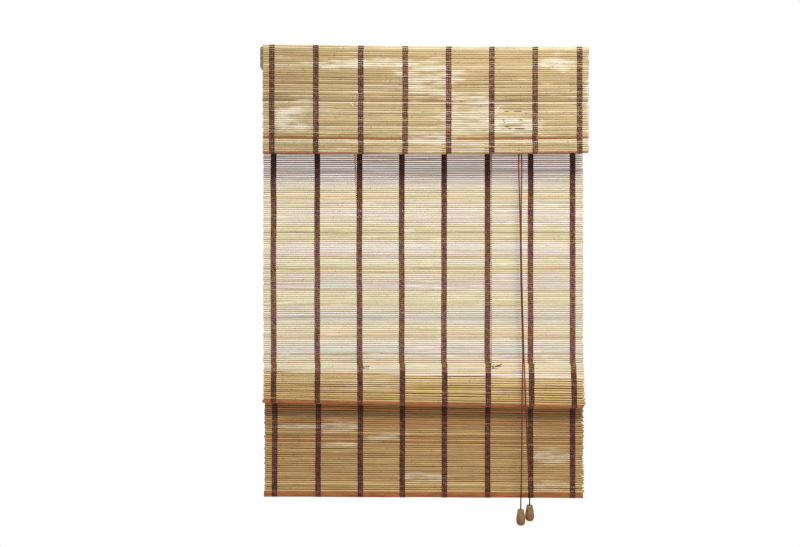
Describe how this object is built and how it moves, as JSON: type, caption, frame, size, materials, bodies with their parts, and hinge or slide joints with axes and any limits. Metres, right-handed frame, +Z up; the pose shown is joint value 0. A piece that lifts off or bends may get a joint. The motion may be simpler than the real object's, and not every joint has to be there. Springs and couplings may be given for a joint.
{
  "type": "bamboo reed blind",
  "caption": "Woven bamboo reed blind on a wooden headrail, with a valance, a folded lower pleat, and pull cords with wooden tassels that draw it up.",
  "frame": {"origin": "middle of the headrail's top face, between its fixing holes", "axes": "+X along the rail to the right as seen from the room, -Y to the room, +Z up"},
  "size_m": [0.605, 0.0428, 0.8875],
  "materials": {
    "rail_wood": "bare sawn wood",
    "reed": "split bamboo, satin",
    "slat": "stained bamboo, satin",
    "yarn": "woven yarn, matte",
    "cord": "braided cord, matte",
    "tassel_wood": "turned wood, waxed",
    "steel": "zinc plated"
  },
  "bodies": {
    "rail": {"headrail": "rail_wood", "valance_mat": "reed", "valance_bands": "yarn", "valance_slat": "slat", "main_mat": "reed", "main_bands": "yarn", "screw_eye_left": "steel", "screw_eye_right": "steel", "lock_housing": "steel", "guide_bar": "steel", "lock_screws": "steel", "lift_cord_left": "cord", "lift_cord_right": "cord", "pull_cord_left": "cord", "pull_cord_right": "cord"},
    "folds": {"lower_mat": "reed", "lower_bands": "yarn", "pleat_slat": "slat", "bottom_slat": "slat", "tie_knot_left": "cord", "tie_knot_right": "cord"},
    "left_pull": {"tassel_left": "tassel_wood", "tassel_knot_left": "cord"},
    "right_pull": {"tassel_right": "tassel_wood", "tassel_knot_right": "cord"},
    "pinch": {"pinch_roller": "steel"}
  },
  "joints": [
    {"name": "lift", "type": "slide", "parent": "rail", "child": "folds", "axis": [0, 0, 1], "range_m": [0, 0.386], "deforming": ["main_mat", "main_bands", "lift_cord_left", "lift_cord_right", "pull_cord_left", "pull_cord_right"]},
    {"name": "left_cord_pull", "type": "slide", "parent": "rail", "child": "left_pull", "axis": [0, 0, -1], "range_m": [0, 0.386]},
    {"name": "right_cord_pull", "type": "slide", "parent": "rail", "child": "right_pull", "axis": [0, 0, -1], "range_m": [0, 0.386]},
    {"name": "pinch_release", "type": "slide", "parent": "rail", "child": "pinch", "axis": [0.5, 0, 0.866], "range_m": [0, 0.005]}
  ],
  "couplings": [
    {"joint": "left_cord_pull", "follows": "lift", "ratio": 1},
    {"joint": "right_cord_pull", "follows": "lift", "ratio": 1}
  ]
}
